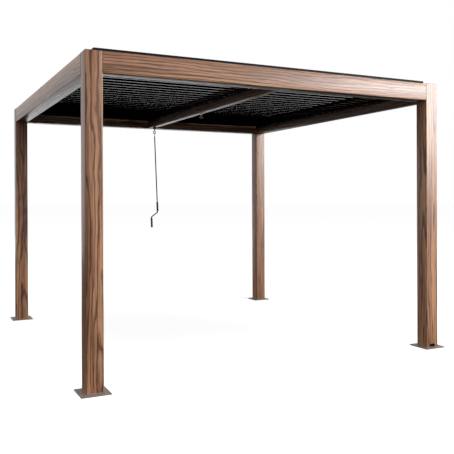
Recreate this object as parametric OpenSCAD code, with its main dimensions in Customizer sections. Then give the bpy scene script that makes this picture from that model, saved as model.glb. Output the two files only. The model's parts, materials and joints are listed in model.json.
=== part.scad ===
// Louvered pergola: four posts on bolt-down plates, a ring of beams with a centre beam,
// and two bays of tilting roof blades that one crank opens and closes together.
// The origin is the centre of the plan on the ground. +X runs along the front from left
// to right, +Y runs from the front to the back, and +Z is up. All sizes are millimetres.

/* [Frame] */
// Width over the outer faces of the posts
plan_w = 3000; // [2400:50:3600]
// Depth over the outer faces of the posts
plan_d = 3000; // [2400:50:3600]
// Height of the top of the beams above the ground
frame_h = 2215; // [1800:5:2700]
// Side of the square posts, and width of the outer beams
post_w = 116; // [96:1:150]
// Height of all the beams
beam_h = 140; // [116:1:180]
// Width of the centre beam
centre_w = 60; // [40:1:90]
// Wall of the post and beam tubes
tube_wall = 2; // [1.5:0.5:4]

/* [Base plates] */
// Side of the square plate under each post
plate_w = 200; // [180:5:260]
// Thickness of the plate
plate_t = 8; // [5:1:12]
// Distance between the bolt holes, in both directions
bolt_spacing = 160; // [150:2:200]
// Diameter of a bolt hole
bolt_hole_d = 13; // [9:1:17]
// Width of the drain opening at a post's foot
drain_w = 60; // [40:2:80]
// Height of the drain opening
drain_h = 25; // [16:1:40]

/* [Roof rim] */
// Height of the rim above the beams
rim_h = 35; // [25:1:70]
// Width of the flange that lies on the beam
rim_flange = 40; // [25:1:60]
// Thickness of the rim's sheet
rim_t = 3; // [2:0.5:5]

/* [Louvres] */
// Number of blade rows between the front and back beams
louvre_count = 26; // [20:1:30]
// Overlap of one closed blade over the next, measured along the roof
blade_overlap = 10.4; // [4:0.2:16]
// Gap between the first or last blade and its beam
edge_gap = 6; // [5:0.5:12]
// Gap between a blade's end and its pivot rail
end_gap = 6; // [5:0.5:12]
// Thickness of a blade at its middle
blade_t = 14; // [10:1:18]
// Thickness of a blade at its edges
blade_edge_t = 5; // [3:0.5:6]
// Width of the blade's full-thickness middle
blade_crown_w = 46.4; // [20:0.2:80]
// Tilt of the closed blades, front edge down
closed_tilt = 7; // [7:1:20]
// Height of the beam top above an open blade
open_gap = 2; // [1:1:10]
// Height of the pivot rail
rail_h = 34; // [26:1:50]
// Thickness of the pivot rail
rail_t = 8; // [6:1:14]
// Diameter of a blade's pivot pin
pin_d = 8; // [6:0.5:10]
// Radial clearance of the pin in its bore
pin_clearance = 0.05; // [0.02:0.01:0.1]
// Distance from a pin's end to the beam behind its rail
pin_stop = 1; // [0.5:0.5:3]

/* [Gearbox and crank] */
// Distance from the back beam's inner face to the gear shaft
gear_setback = 104; // [90:2:200]
// Diameter of the gear shaft
shaft_d = 12; // [9:0.5:16]
// Diameter of the collar under the centre beam
collar_d = 40; // [28:1:56]
// Height of the collar
collar_h = 18; // [12:1:30]
// Thickness of the collar above the shaft's blind bore
bore_roof = 3; // [2:1:8]
// Radial clearance of the shaft in the collar
bore_clearance = 0.05; // [0.02:0.01:0.1]
// Distance from the collar to the middle of the eye
eye_drop = 40; // [30:1:60]
// Radius of the eye, to the middle of its bar
eye_r = 14; // [12:0.5:20]
// Diameter of the eye's bar
eye_bar_d = 8; // [6:0.5:9]
// Diameter of the hook's bar
hook_bar_d = 7; // [5:0.5:8]
// Clearance between the hook and the eye's bar
hook_clearance = 0.4; // [0.3:0.1:0.8]
// Part of the hook's ring that is left open as its mouth, in degrees
hook_mouth = 150; // [120:5:180]
// Length of the shank below the hook's ring
shank_len = 22; // [14:1:40]
// Diameter of the crank's rod
rod_d = 12; // [9:0.5:16]
// Length of the rod from the eye to its throw
rod_len = 906; // [600:2:1300]
// Sideways throw of the crank
throw_w = 76; // [50:1:120]
// Height of the throw
throw_h = 50; // [30:1:80]
// Length of the handle below the throw
handle_len = 120; // [90:1:160]
// Length of each of the two grips
grip_len = 102; // [70:1:140]
// Diameter of a grip
grip_d = 22; // [18:1:30]
// Radial clearance of the rod in its grips
grip_clearance = 0.05; // [0.02:0.01:0.1]
// Length of bare rod below the upper grip
upper_grip_rise = 12; // [4:1:30]
// Length of bare rod below the lower grip
lower_grip_rise = 4; // [2:1:20]
// Lean of the hanging crank, which its throw pulls off plumb
crank_lean = 2.2; // [0:0.1:4]

/* [Lamp hook] */
// Radius of the lamp ring, to the middle of its bar
lamp_ring_r = 13; // [9:0.5:20]
// Diameter of the lamp ring's bar and stem
lamp_bar_d = 6; // [4:0.5:8]
// Diameter of the ring's collar
lamp_collar_d = 30; // [20:1:50]
// Height of the ring's collar
lamp_collar_h = 8; // [4:1:16]
// Distance from the collar to the middle of the ring
lamp_drop = 30; // [24:1:60]

/* [Hidden] */
$fn = 64;
left = -1;
right = 1;
front = -1;
back = 1;
louvre_numbers = [for (i = [1 : louvre_count]) i];

wood = [0.62, 0.44, 0.33];
black_coat = [0.06, 0.06, 0.065];
bronze = [0.45, 0.39, 0.34];
steel = [0.72, 0.73, 0.74];
grip_black = [0.05, 0.05, 0.05];

// Plan: posts stand in the corners, and the beams run between their inner faces.
post_x = plan_w / 2 - post_w / 2;
post_y = plan_d / 2 - post_w / 2;
inner_x = plan_w / 2 - post_w;
inner_y = plan_d / 2 - post_w;
beam_z = frame_h - beam_h;
post_len = frame_h - plate_t;
rim_x = inner_x + rim_flange;
rim_y = inner_y + rim_flange;

// Louvres: the rows share the depth between the front and back beams.
louvre_pitch = (2 * inner_y - blade_overlap - 2 * edge_gap) / louvre_count;
blade_w = louvre_pitch + blade_overlap;
first_pivot_y = -inner_y + edge_gap + blade_w / 2;
pivot_z = frame_h - open_gap - blade_w / 2;
blade_in_x = centre_w / 2 + rail_t + end_gap;
blade_out_x = inner_x - rail_t - end_gap;
pin_len = end_gap + rail_t - pin_stop;

// Crank: it hangs from the bottom of the eye's bar.
gear_y = inner_y - gear_setback;
collar_z = beam_z - collar_h;
eye_z = collar_z - eye_drop;
hang_z = eye_z - eye_r;
hook_r = (eye_bar_d + hook_bar_d) / 2 + hook_clearance;
hook_turn = 360 - hook_mouth;
// Levels along the crank, down from its hanging point.
shank_foot = -hook_r - shank_len;
rod_foot = -rod_len + eye_r;
throw_foot = rod_foot - throw_h;
handle_foot = throw_foot - handle_len;

// How far a cut runs past the face that it opens.
past = 1;

function louvre_name(i) = str("louvre_", i < 10 ? "0" : "", i);
function pivot_y(i) = first_pivot_y + (i - 1) * louvre_pitch;

// ---- Posts and plates ----

module post(side_x, side_y, drained) {
    bore_w = post_w - 2 * tube_wall;
    color(wood)
    translate([side_x * post_x, side_y * post_y, plate_t])
    difference() {
        translate([-post_w / 2, -post_w / 2, 0])
            cube([post_w, post_w, post_len]);
        translate([-bore_w / 2, -bore_w / 2, -past])
            cube([bore_w, bore_w, post_len - tube_wall + past]);
        if (drained)
            translate([0, side_y * (post_w / 2 - tube_wall / 2), 0])
                drain_opening();
    }
}

// A low arch with quarter-round shoulders, cut through one wall of the post.
module drain_opening() {
    shoulder_r = drain_h / 2;
    reach = tube_wall + 2 * past;
    rotate([90, 0, 0])
    linear_extrude(reach, center = true)
    union() {
        translate([-drain_w / 2, -past])
            square([drain_w, drain_h - shoulder_r + past]);
        translate([-drain_w / 2 + shoulder_r, -past])
            square([drain_w - 2 * shoulder_r, drain_h + past]);
        for (side = [left, right])
            translate([side * (drain_w / 2 - shoulder_r), drain_h - shoulder_r])
                circle(r = shoulder_r);
    }
}

module base_plate(side_x, side_y) {
    color(bronze)
    translate([side_x * post_x, side_y * post_y, 0])
    difference() {
        translate([-plate_w / 2, -plate_w / 2, 0])
            cube([plate_w, plate_w, plate_t]);
        for (x = [left, right], y = [front, back])
            translate([x * bolt_spacing / 2, y * bolt_spacing / 2, -past])
                cylinder(d = bolt_hole_d, h = plate_t + 2 * past);
    }
}

// ---- Beams ----

// A tube along X at the beams' height, open at both ends and centred over the origin.
module beam_tube(length, width) {
    color(wood)
    translate([0, 0, beam_z])
    difference() {
        translate([-length / 2, -width / 2, 0])
            cube([length, width, beam_h]);
        translate([-length / 2 - past, -width / 2 + tube_wall, tube_wall])
            cube([length + 2 * past, width - 2 * tube_wall, beam_h - 2 * tube_wall]);
    }
}

module cross_beam(side_y) {
    translate([0, side_y * post_y, 0])
        beam_tube(2 * inner_x, post_w);
}

module side_beam(side_x) {
    translate([side_x * post_x, 0, 0])
        rotate([0, 0, 90])
            beam_tube(2 * inner_y, post_w);
}

module centre_beam() {
    rotate([0, 0, 90])
        beam_tube(2 * inner_y, centre_w);
}

// ---- Roof rim ----

// The whole ring: a flange on the beams and an upstand along its outer edge.
module rim_ring() {
    difference() {
        translate([-rim_x, -rim_y, frame_h])
            cube([2 * rim_x, 2 * rim_y, rim_h]);
        translate([-inner_x, -inner_y, frame_h - past])
            cube([2 * inner_x, 2 * inner_y, rim_h + 2 * past]);
        translate([-rim_x + rim_t, -rim_y + rim_t, frame_h + rim_t])
            cube([2 * (rim_x - rim_t), 2 * (rim_y - rim_t), rim_h]);
    }
}

// The four lengths meet in mitres, from the inner corners of the beams outwards.
module cross_rim_length(side_y) {
    reach = rim_flange + past;
    color(black_coat)
    intersection() {
        rim_ring();
        translate([0, 0, frame_h - past])
            linear_extrude(rim_h + 2 * past)
                polygon([
                    [-inner_x, side_y * inner_y],
                    [-inner_x - reach, side_y * (inner_y + reach)],
                    [inner_x + reach, side_y * (inner_y + reach)],
                    [inner_x, side_y * inner_y]
                ]);
    }
}

module side_rim_length(side_x) {
    reach = rim_flange + past;
    color(black_coat)
    intersection() {
        rim_ring();
        translate([0, 0, frame_h - past])
            linear_extrude(rim_h + 2 * past)
                polygon([
                    [side_x * inner_x, -inner_y],
                    [side_x * (inner_x + reach), -inner_y - reach],
                    [side_x * (inner_x + reach), inner_y + reach],
                    [side_x * inner_x, inner_y]
                ]);
    }
}

// ---- Pivot rails and louvres ----

// A rail on the face at x, standing off it towards the bay on the given side.
module pivot_rail(face_x, towards) {
    color(black_coat)
    difference() {
        translate([min(face_x, face_x + towards * rail_t), -inner_y, pivot_z - rail_h / 2])
            cube([rail_t, 2 * inner_y, rail_h]);
        for (i = louvre_numbers)
            translate([face_x, pivot_y(i), pivot_z])
                rotate([0, 90, 0])
                    cylinder(d = pin_d + 2 * pin_clearance, h = 2 * (rail_t + past), center = true);
    }
}

// The blade's section in its own plane: u along the chord, v through the thickness.
module blade_section() {
    u_edge = blade_w / 2;
    v_edge = blade_edge_t / 2;
    v_mid = blade_t / 2;
    u_crown = blade_crown_w / 2;
    polygon([
        [-u_edge, v_edge], [-u_edge, -v_edge],
        [-u_crown, -v_mid], [u_crown, -v_mid],
        [u_edge, -v_edge], [u_edge, v_edge],
        [u_crown, v_mid], [-u_crown, v_mid]
    ]);
}

module blade(side_x) {
    length = blade_out_x - blade_in_x;
    middle_x = side_x * (blade_in_x + blade_out_x) / 2;
    translate([middle_x, 0, 0]) {
        rotate([90, 0, 90])
            linear_extrude(length, center = true)
                blade_section();
        rotate([0, 90, 0])
            cylinder(d = pin_d, h = length + 2 * pin_len, center = true);
    }
}

// One row: a blade in each bay, on one shared axis.
module louvre_row(i) {
    color(black_coat)
    translate([0, pivot_y(i), pivot_z])
    rotate([closed_tilt, 0, 0]) {
        blade(left);
        blade(right);
    }
}

// ---- Gearbox, lamp hook and crank ----

module ring(radius, bar_d) {
    rotate([90, 0, 0])
        rotate_extrude()
            translate([radius, 0])
                circle(d = bar_d);
}

module gear_collar() {
    bore_d = shaft_d + 2 * bore_clearance;
    color(grip_black)
    translate([0, gear_y, collar_z])
    difference() {
        cylinder(d = collar_d, h = collar_h);
        translate([0, 0, -past])
            cylinder(d = bore_d, h = collar_h - bore_roof + past);
    }
}

module gear_eye() {
    shaft_top = collar_z + collar_h - bore_roof - past;
    shaft_foot = eye_z + eye_r;
    color(steel)
    translate([0, gear_y, 0])
    union() {
        translate([0, 0, shaft_foot])
            cylinder(d = shaft_d, h = shaft_top - shaft_foot);
        translate([0, 0, eye_z])
            ring(eye_r, eye_bar_d);
    }
}

module lamp_hook() {
    ring_z = beam_z - lamp_collar_h - lamp_drop;
    color(steel)
    union() {
        translate([0, 0, beam_z - lamp_collar_h])
            cylinder(d = lamp_collar_d, h = lamp_collar_h);
        translate([0, 0, ring_z + lamp_ring_r])
            cylinder(d = lamp_bar_d, h = lamp_drop - lamp_ring_r + past);
        translate([0, 0, ring_z])
            ring(lamp_ring_r, lamp_bar_d);
    }
}

// Puts its children in the crank's own frame: the hanging point is the origin, and the
// throw lies to the -X side.
module on_crank() {
    translate([0, gear_y, hang_z])
        rotate([0, -crank_lean, 0])
            children();
}

module crank_hook() {
    bar_r = hook_bar_d / 2;
    color(steel)
    on_crank()
    union() {
        rotate([0, 90, 0])
            rotate_extrude(angle = hook_turn)
                translate([hook_r, 0])
                    circle(r = bar_r);
        translate([0, 0, shank_foot])
            cylinder(r = bar_r, h = shank_len);
    }
}

module crank_rod() {
    color(black_coat)
    on_crank()
    union() {
        bar([0, 0, shank_foot], [0, 0, rod_foot]);
        bar([0, 0, rod_foot], [-throw_w, 0, throw_foot]);
        bar([-throw_w, 0, throw_foot], [-throw_w, 0, handle_foot]);
        translate([0, 0, rod_foot])
            sphere(d = rod_d);
        translate([-throw_w, 0, throw_foot])
            sphere(d = rod_d);
    }
}

// A round bar of the rod's diameter from one point to another, in the crank's XZ plane.
module bar(from, to) {
    run = to - from;
    translate(from)
        rotate([0, atan2(run.x, run.z), 0])
            cylinder(d = rod_d, h = norm(run));
}

module grip(x, foot_z) {
    color(grip_black)
    on_crank()
    translate([x, 0, foot_z])
    difference() {
        cylinder(d = grip_d, h = grip_len);
        translate([0, 0, -past])
            cylinder(d = rod_d + 2 * grip_clearance, h = grip_len + 2 * past);
    }
}

module crank_upper_grip() {
    grip(0, rod_foot + upper_grip_rise);
}

module crank_lower_grip() {
    grip(-throw_w, handle_foot + lower_grip_rise);
}

// ---- Nodes ----

post(left, front, false);  // post_front_left
post(right, front, true);  // post_front_right
post(left, back, true);  // post_back_left
post(right, back, false);  // post_back_right
base_plate(left, front);  // base_plate_front_left
base_plate(right, front);  // base_plate_front_right
base_plate(left, back);  // base_plate_back_left
base_plate(right, back);  // base_plate_back_right
cross_beam(front);  // front_beam
cross_beam(back);  // back_beam
side_beam(left);  // left_beam
side_beam(right);  // right_beam
centre_beam();
cross_rim_length(front);  // front_rim
cross_rim_length(back);  // back_rim
side_rim_length(left);  // left_rim
side_rim_length(right);  // right_rim
pivot_rail(-inner_x, right);  // left_beam_rail
pivot_rail(-centre_w / 2, left);  // centre_left_rail
pivot_rail(centre_w / 2, right);  // centre_right_rail
pivot_rail(inner_x, left);  // right_beam_rail
gear_collar();
gear_eye();
lamp_hook();
crank_hook();
crank_rod();
crank_upper_grip();
crank_lower_grip();
for (i = louvre_numbers)
    louvre_row(i);
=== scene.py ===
"""The looks of a louvered pergola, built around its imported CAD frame.

Lengths are metres in the CAD's own frame: X along the front, Y to the back, Z up,
and the origin on the ground at the centre of the plan.
"""

import json
import math

import bmesh
import bpy
from mathutils import Matrix, Vector


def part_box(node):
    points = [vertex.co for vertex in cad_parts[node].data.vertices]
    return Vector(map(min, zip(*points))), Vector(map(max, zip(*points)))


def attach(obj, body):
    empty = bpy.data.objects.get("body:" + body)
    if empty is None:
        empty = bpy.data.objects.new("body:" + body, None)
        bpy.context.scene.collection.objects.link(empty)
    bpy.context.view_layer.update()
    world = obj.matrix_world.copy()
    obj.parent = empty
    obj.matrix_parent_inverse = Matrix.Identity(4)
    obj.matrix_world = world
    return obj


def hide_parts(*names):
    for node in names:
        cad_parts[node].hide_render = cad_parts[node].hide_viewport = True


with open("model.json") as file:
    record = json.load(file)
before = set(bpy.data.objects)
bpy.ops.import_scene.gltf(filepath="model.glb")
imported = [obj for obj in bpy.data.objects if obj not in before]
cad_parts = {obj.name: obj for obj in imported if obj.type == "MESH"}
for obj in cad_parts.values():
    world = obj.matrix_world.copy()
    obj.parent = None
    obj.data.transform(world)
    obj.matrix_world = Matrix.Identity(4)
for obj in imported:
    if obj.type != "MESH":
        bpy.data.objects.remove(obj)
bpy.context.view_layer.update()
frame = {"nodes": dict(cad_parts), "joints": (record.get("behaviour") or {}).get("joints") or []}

# ---- Sizes read from the frame ----

MM = 0.001
FRAME_BODY = "frame"
CORNERS = ["front_left", "front_right", "back_left", "back_right"]
BEAMS = {
    "front_beam": "X",
    "back_beam": "X",
    "left_beam": "Y",
    "right_beam": "Y",
    "centre_beam": "Y",
}
RIMS = ["front_rim", "back_rim", "left_rim", "right_rim"]
RAILS = ["left_beam_rail", "centre_left_rail", "centre_right_rail", "right_beam_rail"]
LOUVRES = sorted(name for name in frame["nodes"] if name.startswith("louvre_"))
PIVOTS = {
    joint["child"]: Vector(joint["pos_m"])
    for joint in frame["joints"]
    if joint["child"] in LOUVRES
}

beam_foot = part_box("front_beam")[0].z
beam_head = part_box("front_beam")[1].z
inner_x = -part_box("left_beam")[1].x
inner_y = -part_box("front_beam")[1].y
centre_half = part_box("centre_beam")[1].x
rail_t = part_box("centre_right_rail")[1].x - centre_half
rail_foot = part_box("centre_right_rail")[0].z
blade_in = centre_half + rail_t + 6 * MM
blade_out = inner_x - rail_t - 6 * MM

# ---- Camera ----

CAMERA_PLACE = (-2.5156, -5.5019, 1.2507)
CAMERA_TURN = math.radians(25.92)
CAMERA_PITCH = math.radians(-0.10)
CAMERA_ROLL = math.radians(-0.226)
CAMERA_LENS = 50.27
CAMERA_SHIFT = (0.0230, -0.0577)


def add_camera():
    data = bpy.data.cameras.new("camera")
    data.lens = CAMERA_LENS
    data.sensor_width = 36.0
    data.shift_x, data.shift_y = CAMERA_SHIFT
    data.clip_end = 400.0
    camera = bpy.data.objects.new("camera", data)
    bpy.context.scene.collection.objects.link(camera)
    level = Matrix.Rotation(-CAMERA_TURN, 4, "Z") @ Matrix.Rotation(math.radians(90), 4, "X")
    tilt = Matrix.Rotation(CAMERA_PITCH, 4, "X") @ Matrix.Rotation(CAMERA_ROLL, 4, "Z")
    camera.matrix_world = Matrix.Translation(CAMERA_PLACE) @ level @ tilt
    bpy.context.scene.camera = camera


# ---- Materials ----


def new_material(name):
    material = bpy.data.materials.new(name)
    material.use_nodes = True
    tree = material.node_tree
    return material, tree, tree.nodes["Principled BSDF"]


def add(tree, kind, inputs=None, **settings):
    """A node of this kind, with its settings made and its inputs set or linked."""
    node = tree.nodes.new(kind)
    for key, value in settings.items():
        setattr(node, key, value)
    for key, value in (inputs or {}).items():
        if isinstance(value, bpy.types.NodeSocket):
            tree.links.new(value, node.inputs[key])
        else:
            node.inputs[key].default_value = value
    return node


def ramp(tree, value, stops):
    """A colour ramp through (position, colour) stops; a plain number is a grey."""
    node = add(tree, "ShaderNodeValToRGB", {"Fac": value})
    band = node.color_ramp
    while len(band.elements) < len(stops):
        band.elements.new(0.5)
    for element, (position, colour) in zip(band.elements, stops):
        element.position = position
        grey = isinstance(colour, (int, float))
        element.color = (colour, colour, colour, 1) if grey else (*colour, 1)
    return node.outputs["Color"]


def multiply(tree, share, first, second):
    """The first colour multiplied by a share of the second."""
    node = add(tree, "ShaderNodeMix", data_type="RGBA", blend_type="MULTIPLY")
    node.inputs[0].default_value = share
    tree.links.new(first, node.inputs[6])
    tree.links.new(second, node.inputs[7])
    return node.outputs[2]


def add_bump(tree, shader, height, depth):
    node = add(tree, "ShaderNodeBump", {"Height": height, "Distance": depth, "Strength": 1.0})
    tree.links.new(node.outputs["Normal"], shader.inputs["Normal"])


def grain_place(tree, along, shift):
    """Object coordinates turned so that the grain runs along Z, moved to a member's own cut."""
    here = add(tree, "ShaderNodeTexCoord").outputs["Object"]
    parts = add(tree, "ShaderNodeSeparateXYZ", {0: here})
    order = {"X": "YZX", "Y": "XZY", "Z": "XYZ"}[along]
    turned = add(tree, "ShaderNodeCombineXYZ", {i: parts.outputs[axis] for i, axis in enumerate(order)})
    moved = add(tree, "ShaderNodeMapping", {"Vector": turned.outputs[0], "Location": shift})
    return moved.outputs[0]


def stretched(tree, place, across, lengthwise):
    node = add(tree, "ShaderNodeMapping", {"Vector": place, "Scale": (across, across, lengthwise)})
    return node.outputs[0]


WOOD_TONES = [
    (0.00, (0.098, 0.041, 0.022)),
    (0.09, (0.158, 0.071, 0.038)),
    (0.26, (0.258, 0.128, 0.071)),
    (0.62, (0.350, 0.186, 0.101)),
    (1.00, (0.302, 0.150, 0.084)),
]


def wood_print(name, along, shift):
    """A wood-grain film on a satin coat: cathedral rings, dark streaks, broad bands and fibres."""
    material, tree, shader = new_material(name)
    place = grain_place(tree, along, shift)
    long_place = stretched(tree, place, 1.0, 0.13)
    drift = add(tree, "ShaderNodeTexNoise", {"Vector": long_place, "Scale": 5.5, "Detail": 4.0})
    bent = add(
        tree,
        "ShaderNodeVectorMath",
        {0: drift.outputs["Color"], 1: (0.120, 0.120, 0.0), 2: long_place},
        operation="MULTIPLY_ADD",
    )
    rings = add(
        tree,
        "ShaderNodeTexWave",
        {"Vector": bent.outputs[0], "Scale": 17.0, "Distortion": 1.8, "Detail": 4.0, "Detail Scale": 3.0},
        wave_type="RINGS",
        rings_direction="Z",
        wave_profile="SIN",
    )
    grain = ramp(tree, rings.outputs["Fac"], WOOD_TONES)
    streaks = add(
        tree,
        "ShaderNodeTexNoise",
        {"Vector": stretched(tree, place, 105.0, 1.3), "Scale": 1.0, "Detail": 3.0, "Distortion": 0.4},
    )
    dark = ramp(
        tree,
        streaks.outputs["Fac"],
        [(0.32, (0.42, 0.34, 0.30)), (0.40, (0.74, 0.68, 0.64)), (0.49, 1.0), (0.70, (1.14, 1.13, 1.09))],
    )
    grain = multiply(tree, 1.0, grain, dark)
    bands = add(
        tree,
        "ShaderNodeTexNoise",
        {"Vector": stretched(tree, place, 11.0, 0.7), "Scale": 1.0, "Detail": 3.0},
    )
    warm = ramp(
        tree,
        bands.outputs["Fac"],
        [(0.37, (0.66, 0.55, 0.50)), (0.50, 1.0), (0.64, (1.28, 1.30, 1.22))],
    )
    grain = multiply(tree, 1.0, grain, warm)
    fibres = add(
        tree,
        "ShaderNodeTexNoise",
        {"Vector": stretched(tree, place, 300.0, 7.0), "Scale": 1.0, "Detail": 3.0},
    )
    fine = ramp(tree, fibres.outputs["Fac"], [(0.32, 0.64), (0.50, 1.0), (0.70, 1.14)])
    grain = multiply(tree, 1.0, grain, fine)
    tree.links.new(grain, shader.inputs["Base Color"])
    rough = ramp(tree, fibres.outputs["Fac"], [(0.2, 0.40), (0.8, 0.30)])
    tree.links.new(rough, shader.inputs["Roughness"])
    shader.inputs["Specular IOR Level"].default_value = 0.42
    add_bump(tree, shader, fibres.outputs["Fac"], 0.10 * MM)
    return material


def powder_coat(name, colour, roughness, gloss=0.5, peel=0.06, variation=0.12):
    """A powder coat: fine orange peel, and slow changes of tone and roughness."""
    material, tree, shader = new_material(name)
    here = add(tree, "ShaderNodeTexCoord").outputs["Object"]
    peel_noise = add(tree, "ShaderNodeTexNoise", {"Vector": here, "Scale": 700.0, "Detail": 2.0})
    slow_noise = add(tree, "ShaderNodeTexNoise", {"Vector": here, "Scale": 3.0, "Detail": 4.0})
    low = tuple(channel * (1 - variation) for channel in colour)
    high = tuple(channel * (1 + variation) for channel in colour)
    tone = ramp(tree, slow_noise.outputs["Fac"], [(0.3, low), (0.7, high)])
    tree.links.new(tone, shader.inputs["Base Color"])
    rough = ramp(tree, slow_noise.outputs["Fac"], [(0.3, roughness + 0.05), (0.7, roughness - 0.04)])
    tree.links.new(rough, shader.inputs["Roughness"])
    shader.inputs["Specular IOR Level"].default_value = gloss
    add_bump(tree, shader, peel_noise.outputs["Fac"], peel * MM)
    return material


def plated_steel(name):
    """Zinc-plated steel with a faint spangle."""
    material, tree, shader = new_material(name)
    here = add(tree, "ShaderNodeTexCoord").outputs["Object"]
    spangle = add(tree, "ShaderNodeTexVoronoi", {"Vector": here, "Scale": 160.0})
    tone = ramp(tree, spangle.outputs["Distance"], [(0.1, (0.50, 0.51, 0.52)), (0.8, (0.68, 0.68, 0.68))])
    tree.links.new(tone, shader.inputs["Base Color"])
    rough = ramp(tree, spangle.outputs["Distance"], [(0.1, 0.40), (0.8, 0.28)])
    tree.links.new(rough, shader.inputs["Roughness"])
    shader.inputs["Metallic"].default_value = 1.0
    return material


def moulded(name, colour, roughness, gloss=0.5):
    """A moulded plastic or rubber with a fine eroded texture."""
    material, tree, shader = new_material(name)
    here = add(tree, "ShaderNodeTexCoord").outputs["Object"]
    grain = add(tree, "ShaderNodeTexNoise", {"Vector": here, "Scale": 1400.0, "Detail": 2.0})
    low = tuple(channel * 0.85 for channel in colour)
    tone = ramp(tree, grain.outputs["Fac"], [(0.35, low), (0.65, colour)])
    tree.links.new(tone, shader.inputs["Base Color"])
    shader.inputs["Roughness"].default_value = roughness
    shader.inputs["Specular IOR Level"].default_value = gloss
    add_bump(tree, shader, grain.outputs["Fac"], 0.05 * MM)
    return material


BLACK_COAT = powder_coat("black powder coat", (0.006, 0.006, 0.007), 0.55, gloss=0.08)
LOUVRE_COAT = powder_coat("louvre powder coat", (0.006, 0.007, 0.009), 0.60, gloss=0.0)
PLATE_COAT = powder_coat("bronze powder coat", (0.175, 0.130, 0.105), 0.48, peel=0.10)
STEEL = plated_steel("plated steel")
GRIP_PLASTIC = moulded("black grip plastic", (0.012, 0.012, 0.013), 0.48, gloss=0.35)
RUBBER = moulded("black seal rubber", (0.008, 0.008, 0.008), 0.75, gloss=0.15)
NODE_COATS = {
    "gear_collar": GRIP_PLASTIC,
    "gear_eye": STEEL,
    "lamp_hook": STEEL,
    "crank_hook": STEEL,
    "crank_rod": BLACK_COAT,
    "crank_upper_grip": GRIP_PLASTIC,
    "crank_lower_grip": GRIP_PLASTIC,
}
NODE_COATS.update({name: BLACK_COAT for name in RIMS + RAILS})
NODE_COATS.update({name: LOUVRE_COAT for name in LOUVRES})


def coat_nodes():
    for name, material in NODE_COATS.items():
        frame["nodes"][name].data.materials.clear()
        frame["nodes"][name].data.materials.append(material)


# ---- Making pieces ----


def finish_piece(name, shape, material, body=FRAME_BODY, replaced=()):
    """Makes an object of a bmesh, rides it on its body and hides the CAD parts that it replaces."""
    mesh = bpy.data.meshes.new(name)
    shape.to_mesh(mesh)
    shape.free()
    mesh.materials.append(material)
    mesh.shade_smooth()
    mesh.set_sharp_from_angle(angle=math.radians(32))
    piece = bpy.data.objects.new(name, mesh)
    bpy.context.scene.collection.objects.link(piece)
    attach(piece, body)
    if replaced:
        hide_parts(*replaced)
    return piece


def cad_shape(node):
    """A copy of a CAD node's mesh, with its triangles joined back into flat faces."""
    shape = bmesh.new()
    shape.from_mesh(frame["nodes"][node].data)
    bmesh.ops.remove_doubles(shape, verts=shape.verts, dist=0.01 * MM)
    bmesh.ops.dissolve_limit(
        shape, angle_limit=math.radians(1), verts=shape.verts, edges=shape.edges, delimit=set()
    )
    return shape


def round_edges(shape, radius, chosen, segments=3):
    edges = [edge for edge in shape.edges if len(edge.link_faces) == 2 and chosen(edge)]
    bmesh.ops.bevel(
        shape,
        geom=edges,
        offset=radius,
        offset_type="OFFSET",
        affect="EDGES",
        segments=segments,
        profile=0.5,
        material=-1,
    )


def middle_of(edge):
    return (edge.verts[0].co + edge.verts[1].co) / 2


def runs_along(edge, axis):
    run = (edge.verts[1].co - edge.verts[0].co).normalized()
    return abs(run[axis]) > 0.999


def in_outer_corner(edge, low, high, axis):
    """True where an edge along this axis lies in an outer corner of a box."""
    middle = middle_of(edge)
    others = [i for i in range(3) if i != axis]
    return all(min(abs(middle[i] - low[i]), abs(middle[i] - high[i])) < 0.1 * MM for i in others)


def facing(direction):
    """The turn that takes +Z to this direction."""
    return Vector(direction).to_track_quat("Z", "Y").to_matrix().to_4x4()


def spin_profile(shape, profile, place, direction, steps=20):
    """Spins a profile of (radius, height) points into a turned piece that faces a direction."""
    start = [shape.verts.new((radius, 0, height)) for radius, height in profile]
    edges = [shape.edges.new(pair) for pair in zip(start, start[1:])]
    bmesh.ops.spin(
        shape,
        geom=start + edges,
        cent=(0, 0, 0),
        axis=(0, 0, 1),
        angle=math.tau,
        steps=steps,
        use_merge=True,
    )
    turned = set(start) | {vert for edge in edges for face in edge.link_faces for vert in face.verts}
    reach = list(turned)
    while reach:
        vert = reach.pop()
        for edge in vert.link_edges:
            other = edge.other_vert(vert)
            if other not in turned:
                turned.add(other)
                reach.append(other)
    bmesh.ops.transform(shape, matrix=Matrix.Translation(place) @ facing(direction), verts=list(turned))


def close_up(shape):
    """Merges the seams and poles of turned pieces, and points their faces outwards."""
    bmesh.ops.remove_doubles(shape, verts=shape.verts, dist=0.001 * MM)
    bmesh.ops.recalc_face_normals(shape, faces=shape.faces)


def add_box(shape, low, high):
    """A box between two corners."""
    low, high = Vector(low), Vector(high)
    size = high - low
    made = bmesh.ops.create_cube(shape, size=1.0)
    bmesh.ops.scale(shape, vec=size, verts=made["verts"])
    bmesh.ops.translate(shape, vec=(low + high) / 2, verts=made["verts"])
    return made["verts"]


# ---- Posts and beams ----

TUBE_CORNER = 3.0 * MM
TUBE_CUTS = {
    "post_front_left": (1.31, 1.62, 0.30),
    "post_front_right": (-1.52, 1.41, 2.10),
    "post_back_left": (1.36, -1.50, 4.70),
    "post_back_right": (-1.33, -1.60, 7.40),
    "front_beam": (1.35, -2.02, 0.90),
    "back_beam": (-1.52, -2.22, 3.30),
    "left_beam": (1.33, -2.05, 5.20),
    "right_beam": (-1.36, -2.25, 8.10),
    "centre_beam": (0.12, -2.28, 6.60),
}


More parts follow.
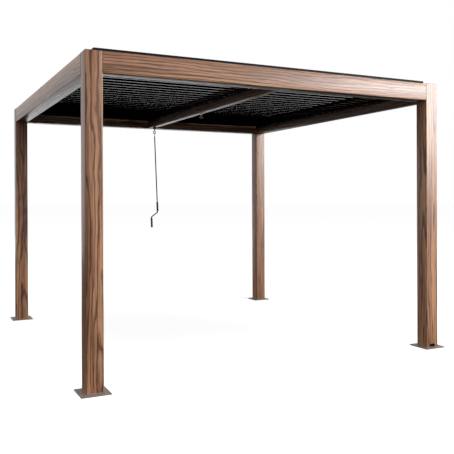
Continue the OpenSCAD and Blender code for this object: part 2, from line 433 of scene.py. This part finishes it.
def dress_tube(node, along):
    """A post or beam tube with the rounded corners of an extrusion, under its own cut of grain."""
    low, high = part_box(node)
    axis = "XYZ".index(along)
    shape = cad_shape(node)
    round_edges(
        shape,
        TUBE_CORNER,
        lambda edge: runs_along(edge, axis) and in_outer_corner(edge, low, high, axis),
    )
    material = wood_print("wood print " + node.replace("_", " "), along, TUBE_CUTS[node])
    finish_piece(node + "_tube", shape, material, replaced=[node])


SEAM_PROUD = 0.4 * MM
SEAM_HALF = 1.6 * MM


def add_beam_seams_gap_shade():
    """Dark strips where each beam's end meets its post, a hair proud of the faces: a seam line, and painted
    shade of the shadow gap between beam and post.
    """
    shape = bmesh.new()
    for node in ("front_beam", "back_beam"):
        low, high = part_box(node)
        outer = low.y if node == "front_beam" else high.y
        outward = -SEAM_PROUD if node == "front_beam" else SEAM_PROUD
        for x in (low.x, high.x):
            ends = sorted((outer + outward, outer - outward * 4))
            add_box(shape, (x - SEAM_HALF, ends[0], low.z), (x + SEAM_HALF, ends[1], high.z))
            add_box(
                shape,
                (x - SEAM_HALF, low.y + TUBE_CORNER, low.z - SEAM_PROUD),
                (x + SEAM_HALF, high.y - TUBE_CORNER, low.z + SEAM_PROUD * 4),
            )
    for node in ("left_beam", "right_beam"):
        low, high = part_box(node)
        outer = low.x if node == "left_beam" else high.x
        outward = -SEAM_PROUD if node == "left_beam" else SEAM_PROUD
        for y in (low.y, high.y):
            ends = sorted((outer + outward, outer - outward * 4))
            add_box(shape, (ends[0], y - SEAM_HALF, low.z), (ends[1], y + SEAM_HALF, high.z))
            add_box(
                shape,
                (low.x + TUBE_CORNER, y - SEAM_HALF, low.z - SEAM_PROUD),
                (high.x - TUBE_CORNER, y + SEAM_HALF, low.z + SEAM_PROUD * 4),
            )
    # Black rubber strips at the beam ends: a seam line, and painted shade standing in for the shadow gap
    # there.
    finish_piece("beam_end_seams_gap_shade", shape, RUBBER)


# ---- Post feet and heads ----

WELD_R = 4.0 * MM


def dress_plate(corner):
    """A base plate with eased edges and the bolt holes of the frame."""
    node = "base_plate_" + corner
    low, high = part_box(node)
    shape = cad_shape(node)
    round_edges(shape, 1.5 * MM, lambda edge: in_outer_rim(edge, low, high), segments=3)
    finish_piece(node + "_eased", shape, PLATE_COAT, replaced=[node])


def in_outer_rim(edge, low, high):
    """True on a plate's upper rim and upright corners."""
    return any(runs_along(edge, axis) and in_outer_corner(edge, low, high, axis) for axis in range(3)) and (
        middle_of(edge).z > low.z + 0.1 * MM
    )


def add_weld(corner):
    """The fillet weld round a post's foot, a rippled quarter-round bead."""
    low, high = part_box("post_" + corner)
    shape = bmesh.new()
    inset = WELD_R * 0.2
    path = [
        Vector((low.x + inset, low.y + inset, low.z)),
        Vector((high.x - inset, low.y + inset, low.z)),
        Vector((high.x - inset, high.y - inset, low.z)),
        Vector((low.x + inset, high.y - inset, low.z)),
    ]
    drained = corner in ("front_right", "back_left")
    gap_y = low.y if corner == "front_right" else high.y
    for start, end in zip(path, path[1:] + path[:1]):
        over_drain = drained and abs(start.y - end.y) < MM and abs(start.y - gap_y) < 2 * MM
        run = (end - start).normalized()
        length = (end - start).length
        count = int(length / (6 * MM))
        for i in range(count + 1):
            spot = start + run * (length * i / count)
            if over_drain and abs(i / count - 0.5) * length < 34 * MM:
                continue
            bead = bmesh.ops.create_uvsphere(shape, u_segments=8, v_segments=6, radius=WELD_R)
            stretch = Matrix.Diagonal((1.15, 1.15, 0.85, 1))
            bmesh.ops.transform(shape, matrix=Matrix.Translation(spot) @ stretch, verts=bead["verts"])
    finish_piece("foot_weld_" + corner, shape, PLATE_COAT)


def add_post_caps():
    """A pressed lid with a rolled edge on each post's head."""
    for corner in CORNERS:
        low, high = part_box("post_" + corner)
        shape = bmesh.new()
        inset = Vector((2 * MM, 2 * MM, 0))
        add_box(shape, Vector((low.x, low.y, high.z)) + inset, high - inset + Vector((0, 0, 2.4 * MM)))
        round_edges(shape, 1.6 * MM, lambda edge: middle_of(edge).z > high.z + 1.2 * MM, segments=3)
        top = max(shape.faces, key=lambda face: face.calc_center_median().z)
        bmesh.ops.inset_individual(shape, faces=[top], thickness=9 * MM, depth=0)
        bmesh.ops.inset_individual(shape, faces=[top], thickness=1.5 * MM, depth=-0.8 * MM)
        finish_piece("post_cap_" + corner, shape, BLACK_COAT)


# ---- Pivots and blades ----



def add_bushes():
    """Plated bushes with a domed flange, round every pivot pin on the bay side of the rails."""
    sides = {
        "left_beam_rail": (-inner_x + rail_t, 1),
        "centre_left_rail": (-centre_half - rail_t, -1),
        "centre_right_rail": (centre_half + rail_t, 1),
        "right_beam_rail": (inner_x - rail_t, -1),
    }
    for rail, (x, towards) in sides.items():
        shape = bmesh.new()
        for pivot in PIVOTS.values():
            flange = [(4.1, -1.0), (4.1, 3.2), (6.2, 3.0), (8.4, 2.2), (9.6, 1.0), (10.0, 0.0), (4.1, -1.0)]
            points = [(r * MM, h * MM) for r, h in flange]
            spin_profile(shape, points, (x, pivot.y, pivot.z), (towards, 0, 0), steps=16)
        close_up(shape)
        finish_piece(rail + "_bushes", shape, STEEL)


def add_rail_screws():
    """Pan-head screws that hold each pivot rail to its beam, between the pivots."""
    sides = {
        "left_beam_rail": (-inner_x + rail_t, 1),
        "centre_left_rail": (-centre_half - rail_t, -1),
        "centre_right_rail": (centre_half + rail_t, 1),
        "right_beam_rail": (inner_x - rail_t, -1),
    }
    head = [(0.0, 2.4), (2.2, 2.2), (3.6, 1.4), (4.0, 0.0), (4.0, -0.5), (0.0, -0.5)]
    names = LOUVRES[1::4]
    for rail, (x, towards) in sides.items():
        shape = bmesh.new()
        for name in names:
            y = PIVOTS[name].y + (PIVOTS["louvre_02"].y - PIVOTS["louvre_01"].y) / 2
            points = [(r * MM, h * MM) for r, h in head]
            spin_profile(shape, points, (x, y, rail_foot + 7 * MM), (towards, 0, 0), steps=14)
        close_up(shape)
        finish_piece(rail + "_screws", shape, STEEL)


CLOSED_TILT = math.radians(7)
BLADE_HALF = 58.0 * MM
SEAL_T = 1.8 * MM
SEAL_FOOT = 1.5 * MM
SEAL_TOP = 6.5 * MM
SEAL_ROUND = 0.7 * MM


def add_blade_seals():
    """A rubber lip along each blade's front edge, which narrows the gap below the next blade."""
    for name, pivot in PIVOTS.items():
        shape = bmesh.new()
        for start, end in ((-blade_out, -blade_in), (blade_in, blade_out)):
            foot = (start + MM, -BLADE_HALF, SEAL_FOOT)
            add_box(shape, foot, (end - MM, SEAL_T - BLADE_HALF, SEAL_TOP))
        round_edges(
            shape,
            SEAL_ROUND,
            lambda edge: runs_along(edge, 0) and middle_of(edge).z > SEAL_TOP - 0.1 * MM,
            segments=2,
        )
        turn = Matrix.Rotation(CLOSED_TILT, 4, "X")
        bmesh.ops.transform(shape, matrix=Matrix.Translation(pivot) @ turn, verts=shape.verts)
        finish_piece(name + "_seal", shape, RUBBER, body=name)


# ---- Dress everything ----

coat_nodes()
for member in ["post_" + corner for corner in CORNERS]:
    dress_tube(member, "Z")
for member, direction in BEAMS.items():
    dress_tube(member, direction)
# Dark seam strips at the beam ends, partly painted shade of the shadow gap.
add_beam_seams_gap_shade()
for corner in CORNERS:
    dress_plate(corner)
    add_weld(corner)
add_post_caps()
add_bushes()
add_rail_screws()
add_blade_seals()

# ---- Stage ----

HORIZON_STOPS = [(0.45, 0.025), (0.485, 1.0), (0.66, 1.0), (0.80, 0.55)]


def add_world():
    """A bright band at the horizon, dimmer overhead, and dark below the floor."""
    world = bpy.data.worlds.new("studio")
    bpy.context.scene.world = world
    world.use_nodes = True
    tree = world.node_tree
    sky = tree.nodes["Background"]
    here = add(tree, "ShaderNodeTexCoord").outputs["Generated"]
    parts = add(tree, "ShaderNodeSeparateXYZ", {0: here})
    height = add(tree, "ShaderNodeMath", {0: parts.outputs["Z"], 1: 0.5, 2: 0.5}, operation="MULTIPLY_ADD")
    level = ramp(tree, height.outputs[0], HORIZON_STOPS)
    tree.links.new(level, sky.inputs["Color"])
    sky.inputs["Strength"].default_value = 1.0


def add_area_light(name, place, aim, size, power, colour=(1, 1, 1)):
    data = bpy.data.lights.new(name, "AREA")
    data.shape = "RECTANGLE"
    data.size, data.size_y = size
    data.energy = power
    data.color = colour
    light = bpy.data.objects.new(name, data)
    bpy.context.scene.collection.objects.link(light)
    turn = (Vector(aim) - Vector(place)).to_track_quat("-Z", "Y")
    light.matrix_world = Matrix.Translation(place) @ turn.to_matrix().to_4x4()


def add_floor():
    shape = bmesh.new()
    bmesh.ops.create_grid(shape, x_segments=1, y_segments=1, size=150.0)
    mesh = bpy.data.meshes.new("floor")
    shape.to_mesh(mesh)
    shape.free()
    floor = bpy.data.objects.new("floor", mesh)
    bpy.context.scene.collection.objects.link(floor)
    material, tree, shader = new_material("studio floor")
    shader.inputs["Base Color"].default_value = (0.62, 0.62, 0.62, 1)
    shader.inputs["Emission Color"].default_value = (1.0, 1.0, 1.0, 1)
    shader.inputs["Emission Strength"].default_value = 0.58
    shader.inputs["Roughness"].default_value = 0.9
    shader.inputs["Specular IOR Level"].default_value = 0.0
    mesh.materials.append(material)
    floor.visible_diffuse = False
    floor.visible_glossy = False


bpy.context.scene.view_settings.view_transform = "Standard"
add_camera()
add_world()
add_floor()
add_area_light("key", (8.6, -8.8, 4.0), (0.8, 0.0, 1.6), (5.0, 3.0), 1500.0, (1.0, 0.985, 0.98))
add_area_light("top", (0.0, -2.0, 9.0), (0.0, 0.0, 1.0), (8.0, 8.0), 500.0)
add_area_light("low strip", (2.5, 14.5, 0.03), (2.5, 14.5, 5.0), (11.0, 9.5), 1300.0)
